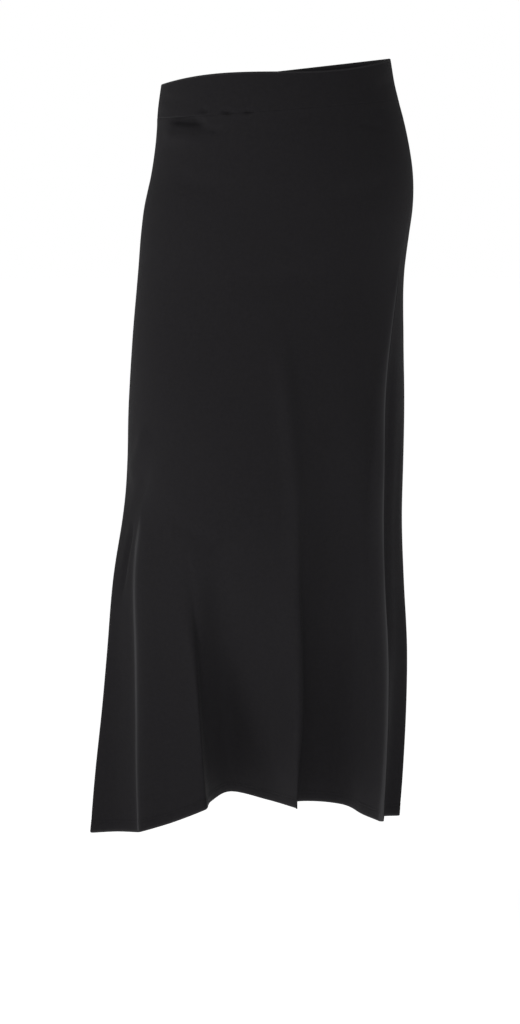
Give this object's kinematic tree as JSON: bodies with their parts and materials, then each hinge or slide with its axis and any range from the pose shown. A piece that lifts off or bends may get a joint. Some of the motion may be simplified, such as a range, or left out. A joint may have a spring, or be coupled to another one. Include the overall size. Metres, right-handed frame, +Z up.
{
  "type": "skirt",
  "caption": "Long A-line skirt of black jersey with a wide waistband, hollow as it is worn, that falls from the hips in soft folds to an open hem.",
  "frame": {"origin": "centre of the waist opening, half way between the two ends of the waistband's tilted top edge, where the skirt is held", "axes": "+Z up through the waist, -Y the way the front faces, +X on the right of someone who looks at the front"},
  "size_m": [0.3979, 0.2965, 0.9494],
  "materials": {
    "jersey": "matt, fine knit"
  },
  "bodies": {
    "root": {"waistband": "jersey", "front_panel": "jersey", "back_panel": "jersey"}
  },
  "joints": []
}
